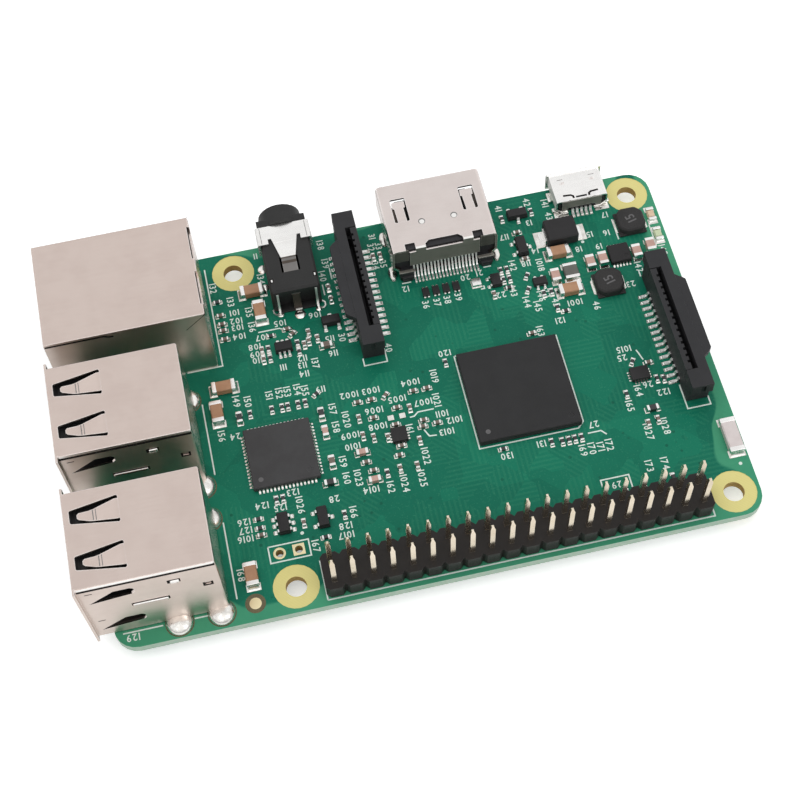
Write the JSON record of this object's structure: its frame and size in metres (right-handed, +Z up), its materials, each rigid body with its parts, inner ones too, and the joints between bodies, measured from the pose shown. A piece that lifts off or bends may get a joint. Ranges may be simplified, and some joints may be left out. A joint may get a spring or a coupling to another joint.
{
  "type": "single board computer",
  "caption": "Bank-card sized green circuit board computer with stacked host ports, network jack, video, power and audio ports, long pin header, chips and lifting flat-cable latches.",
  "frame": {"origin": "middle of the whole assembly's footprint, on the level of the longest pin tails that the bare board stands on", "axes": "+X along the long side from the host ports to the display socket, +Y across from the pin header to the video port, +Z up from the underside to the top face"},
  "size_m": [0.087, 0.0582, 0.0181],
  "materials": {
    "green_mask": "satin green solder mask over glass-fibre laminate",
    "tin_plate": "warm grey tin-plated sheet, half gloss",
    "bright_tin": "bright tin-plated sheet",
    "black_plastic": "black moulded plastic, half matt",
    "socket_plastic": "charcoal moulded plastic, half matt",
    "chip_resin": "dark grey moulded resin, matt",
    "inductor_black": "pressed iron powder, matt dark grey",
    "choke_grey": "grey ferrite, matt",
    "ceramic_tan": "tan ceramic with tinned ends",
    "ceramic_white": "pale glazed ceramic",
    "lamp_amber": "clear amber lens on a pale base",
    "lamp_green": "clear green lens on a pale base",
    "fuse_green": "dark green laminate"
  },
  "bodies": {
    "board": {"activity_lamp": "lamp_green", "audio_jack_body": "black_plastic", "audio_jack_clip": "bright_tin", "camera_socket": "socket_plastic", "capacitor_audio_front": "ceramic_tan", "capacitor_audio_rear": "ceramic_tan", "capacitor_port_front": "ceramic_tan", "capacitor_port_middle": "ceramic_tan", "capacitor_port_rear": "ceramic_tan", "capacitor_power_front": "ceramic_tan", "capacitor_power_rear": "ceramic_tan", "card_socket_cover": "tin_plate", "card_socket_frame": "black_plastic", "chip_antenna": "ceramic_white", "choke": "choke_grey", "circuit_board": "green_mask", "display_socket": "socket_plastic", "fuse": "fuse_green", "host_port_core_front": "black_plastic", "host_port_core_rear": "black_plastic", "host_port_shell_front": "tin_plate", "host_port_shell_rear": "tin_plate", "inductor_front": "inductor_black", "inductor_rear": "inductor_black", "input_diode": "chip_resin", "memory_chip": "chip_resin", "network_hub_chip": "chip_resin", "network_jack_core": "black_plastic", "network_jack_shell": "tin_plate", "network_lamp_front": "lamp_amber", "network_lamp_rear": "lamp_green", "pin_header": "black_plastic", "power_chip": "chip_resin", "power_lamp": "lamp_amber", "power_port_core": "black_plastic", "power_port_shell": "bright_tin", "processor": "chip_resin", "video_port_core": "black_plastic", "video_port_shell": "tin_plate", "wireless_chip": "chip_resin"},
    "camera_latch": {"camera_latch": "socket_plastic"},
    "display_latch": {"display_latch": "socket_plastic"}
  },
  "joints": [
    {"name": "camera_latch_lift", "type": "slide", "parent": "board", "child": "camera_latch", "axis": [0, 0, 1], "range_m": [0, 0.0013]},
    {"name": "display_latch_lift", "type": "slide", "parent": "board", "child": "display_latch", "axis": [0, 0, 1], "range_m": [0, 0.0013]}
  ]
}
